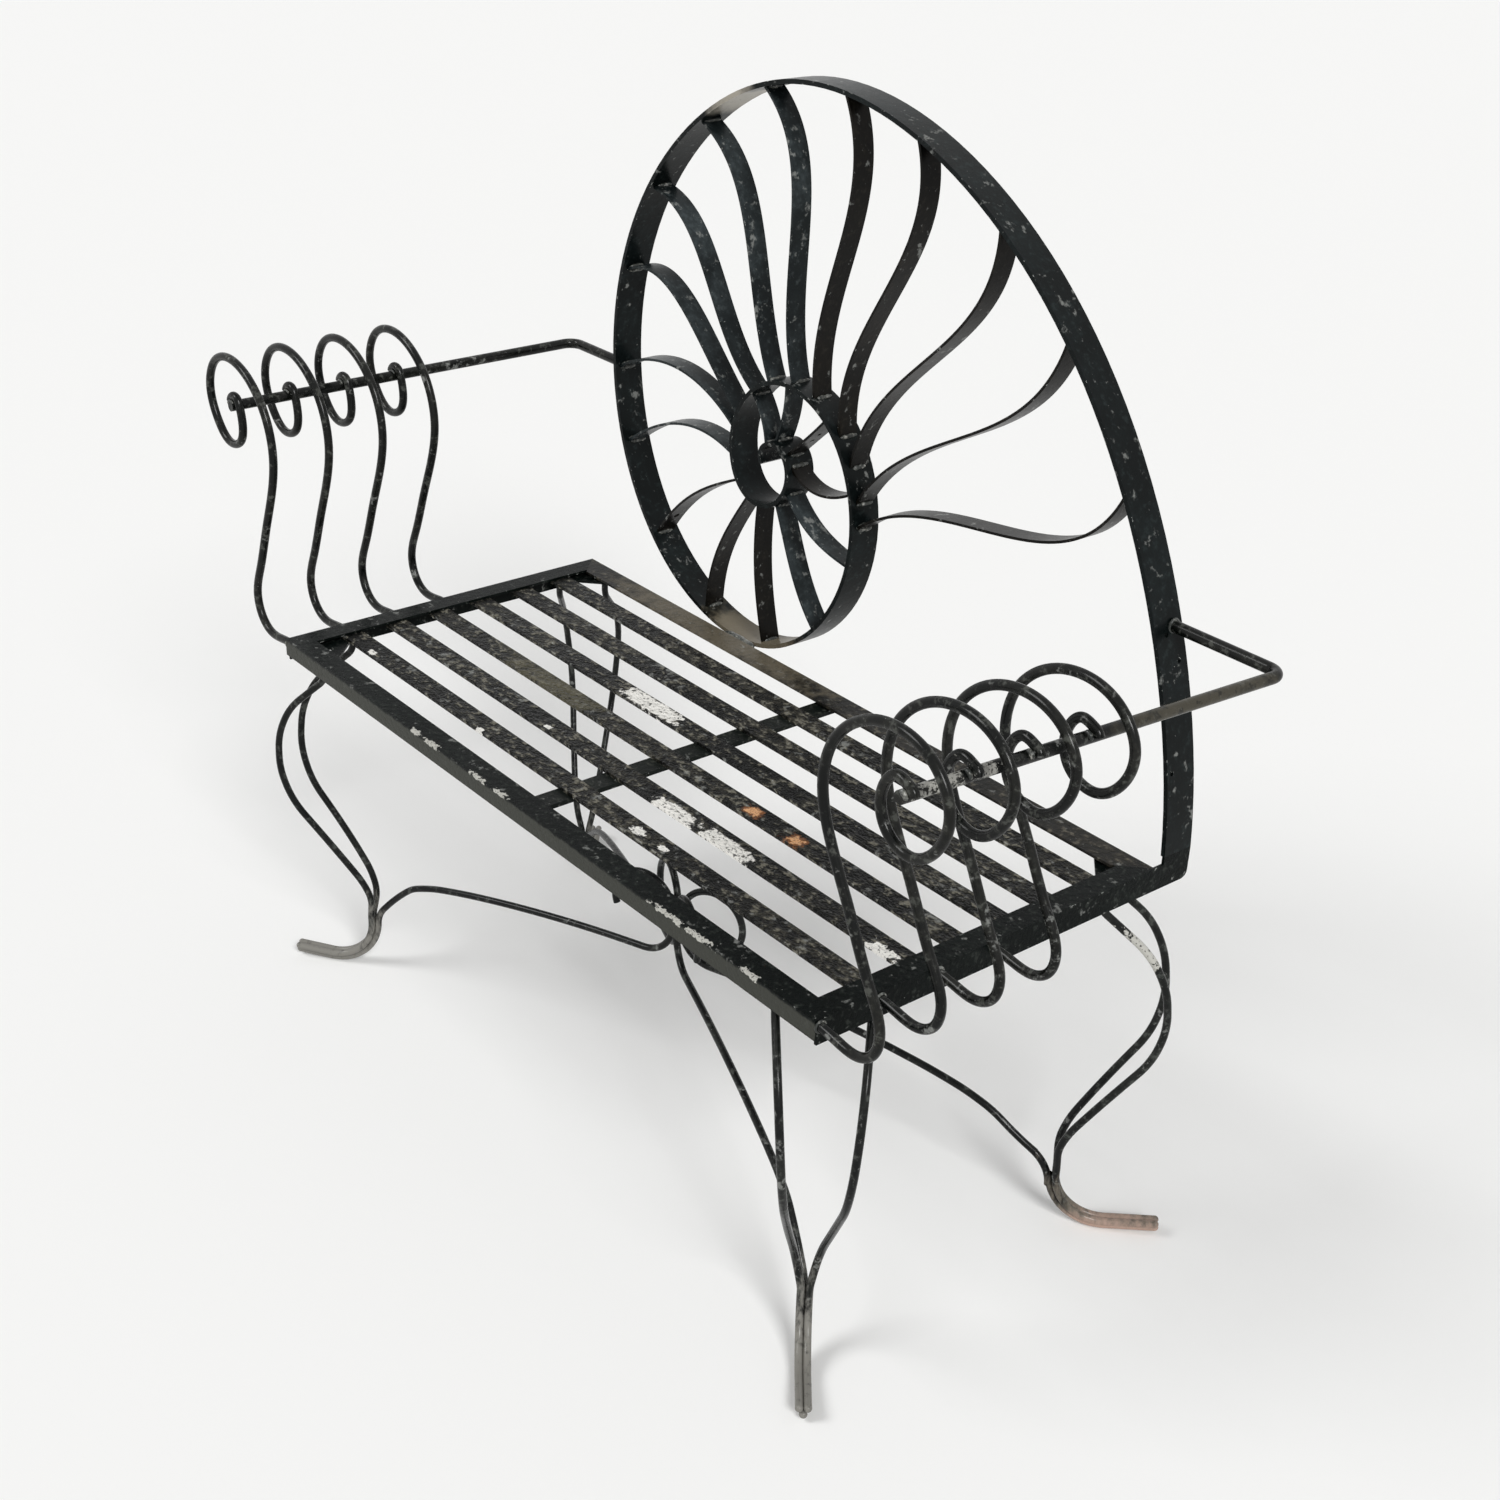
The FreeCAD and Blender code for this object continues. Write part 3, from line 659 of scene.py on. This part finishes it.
def low_wear_group():
    """Mask of what the ground has worn: 1 on the sole, ragged, and 0 above the given height."""
    sockets = [("Height", VALUE, 0.04), ("Ragged", VALUE, 0.03)]
    group, given, out = new_group("low_wear", sockets, [("Mask", VALUE)])
    place = add_node(group, "TexCoord").outputs["Object"]
    height = add_node(group, "SeparateXYZ", {0: place}).outputs["Z"]
    streaks = reckon_places(group, "MULTIPLY", place, (1, 1, 0.35))
    streak_field = minus(group, noise(group, streaks, scale=130.0, detail=5.0, roughness=0.65), 0.5)
    rough = times(group, streak_field, given["Ragged"])
    share = reckon(group, "DIVIDE", plus(group, height, rough), given["Height"])
    group.links.new(minus(group, 1.0, rising(group, share, low=0.2, high=1.1)), out["Mask"])
    return group


low_wear = low_wear_group()


def wear_foot(material, colour, height, ragged):
    """Wears a leg's paint to this colour from the ground up to about this height."""
    worn = add_node(material.node_tree, "Group", {"Height": height, "Ragged": ragged}, node_tree=low_wear)
    lay_colour(material, worn.outputs["Mask"], colour)


wear_foot(leg_paint, screen(124, 122, 116), height=0.1, ragged=0.3)
wear_foot(rusty_leg_paint, screen(104, 98, 88), height=0.07, ragged=0.16)
wear_foot(rusty_leg_paint, screen(176, 150, 136), height=0.024, ragged=0.03)
shoulder_height = 0.371
leg_shoulder = Vector((seat_middle + 0.493, seat_front + 0.4, shoulder_height))
lay_spot(rusty_leg_paint, leg_shoulder, (0.02, 0.02, 0.02), bared_grey,
         broken=0.6, flake_scale=330.0, pitted=1.0)
leg_names = [name for name in nodes if name.startswith(("leg_", "stretcher_"))]
rusty_legs = [name for name in leg_names if "back_right" in name]
dress([name for name in leg_names if name not in rusty_legs], leg_paint)
dress(rusty_legs, rusty_leg_paint)

# A ring of weld round the top of each leg bar, and four tacks between the stretchers in the middle
leg_rod_radius = 0.004
leg_top_depth = 0.0003
leg_weld_drop = 0.001
leg_weld_radius = 0.0017
leg_welds = bmesh.new()
for name in leg_names:
    if name.startswith("leg_"):
        leg_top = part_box(name)[1].z
        points = [vertex.co for vertex in nodes[name].data.vertices]
        top_points = [point for point in points if point.z > leg_top - leg_top_depth]
        centre = sum(top_points, Vector()) / len(top_points) - along_z * leg_weld_drop
        leg_ring = ring_path(centre, along_z, leg_rod_radius + ring_stand_off)
        lumpy_run(leg_welds, leg_ring, along_z, leg_weld_radius, closed=True)
back_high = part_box("back_rail")[1]
bundle = Vector((seat_middle, (seat_front + back_high.y) / 2, 0))
tack_low = 0.207
tack_high = 0.229
tack_reach = 0.0066
tack_radius = 0.0021
tack_spacing = 0.0022
for quarter in range(4):
    turn = quarter * math.pi / 2
    tack = bundle + Vector((math.cos(turn), math.sin(turn), 0)) * tack_reach
    path = straight_path(tack + along_z * tack_low, tack + along_z * tack_high, tack_spacing)
    lumpy_run(leg_welds, path, along_x, tack_radius)
weld_piece("leg_welds", leg_welds)


# Stage
# A plain pale floor that keeps a soft shadow, a white surround, and two large soft lights, from the front
# left and from the right.
floor_half = 30.0
floor_corners = [(-floor_half, -floor_half, 0), (floor_half, -floor_half, 0),
                 (floor_half, floor_half, 0), (-floor_half, floor_half, 0)]
floor_mesh = bpy.data.meshes.new("floor")
floor_mesh.from_pydata(floor_corners, [], [(0, 1, 2, 3)])
floor = bpy.data.objects.new("floor", floor_mesh)
bpy.context.scene.collection.objects.link(floor)
floor_white = bpy.data.materials.new("floor_white")
floor_white.use_nodes = True
floor_sockets = floor_white.node_tree.nodes["Principled BSDF"].inputs
floor_sockets["Base Color"].default_value = (0.93, 0.93, 0.92, 1)
floor_sockets["Roughness"].default_value = 0.9
floor_sockets["Specular IOR Level"].default_value = 0.1
floor_mesh.materials.append(floor_white)

# The surround is white to whatever sees it, and lights the bench with less than that
studio = bpy.data.worlds.new("studio")
studio.use_nodes = True
bpy.context.scene.world = studio
surround = studio.node_tree
path_kind = add_node(surround, "LightPath").outputs
seen = larger(surround, path_kind["Is Camera Ray"], path_kind["Is Transmission Ray"])
seen = larger(surround, seen, path_kind["Is Glossy Ray"])
ambient = 0.32
strength = plus(surround, ambient, times(surround, seen, 1 - ambient))
surround.nodes["Background"].inputs["Color"].default_value = (1, 1, 1, 1)
surround.links.new(strength, surround.nodes["Background"].inputs["Strength"])

for lamp_name, energy, spread, heading in (("key_light", 1.3, 24, Vector((0.45, 0.75, -0.85))),
                                           ("fill_light", 2.0, 20, Vector((-0.75, 0.25, -0.6)))):
    lamp_data = bpy.data.lights.new(lamp_name, "SUN")
    lamp_data.energy = energy
    lamp_data.angle = math.radians(spread)
    lamp = bpy.data.objects.new(lamp_name, lamp_data)
    lamp.rotation_euler = heading.to_track_quat("-Z", "Y").to_euler()
    bpy.context.scene.collection.objects.link(lamp)


# Camera
# It stands to the right of the seat's front, higher than the shell, and looks down at the seat.
camera_from_seat = Vector((1.5336, -0.9713, 1.4477))
camera_azimuth = 50.12
camera_drop = 27.59
camera_roll = 2.21
photo_focal_pixels = 2068.0
photo_width_pixels = 1500.0
camera_data = bpy.data.cameras.new("camera")
camera_data.sensor_fit = "HORIZONTAL"
camera_data.sensor_width = 36.0
camera_data.lens = photo_focal_pixels / photo_width_pixels * camera_data.sensor_width
camera = bpy.data.objects.new("camera", camera_data)
stand = Matrix.Translation(Vector((seat_middle, seat_front, 0)) + camera_from_seat)
swing = Matrix.Rotation(math.radians(camera_azimuth), 4, "Z")
tip = Matrix.Rotation(math.radians(90 - camera_drop), 4, "X")
roll = Matrix.Rotation(math.radians(camera_roll), 4, "Z")
camera.matrix_world = stand @ (swing @ tip @ roll)
bpy.context.scene.collection.objects.link(camera)
bpy.context.scene.camera = camera
bpy.context.scene.view_settings.view_transform = "Standard"
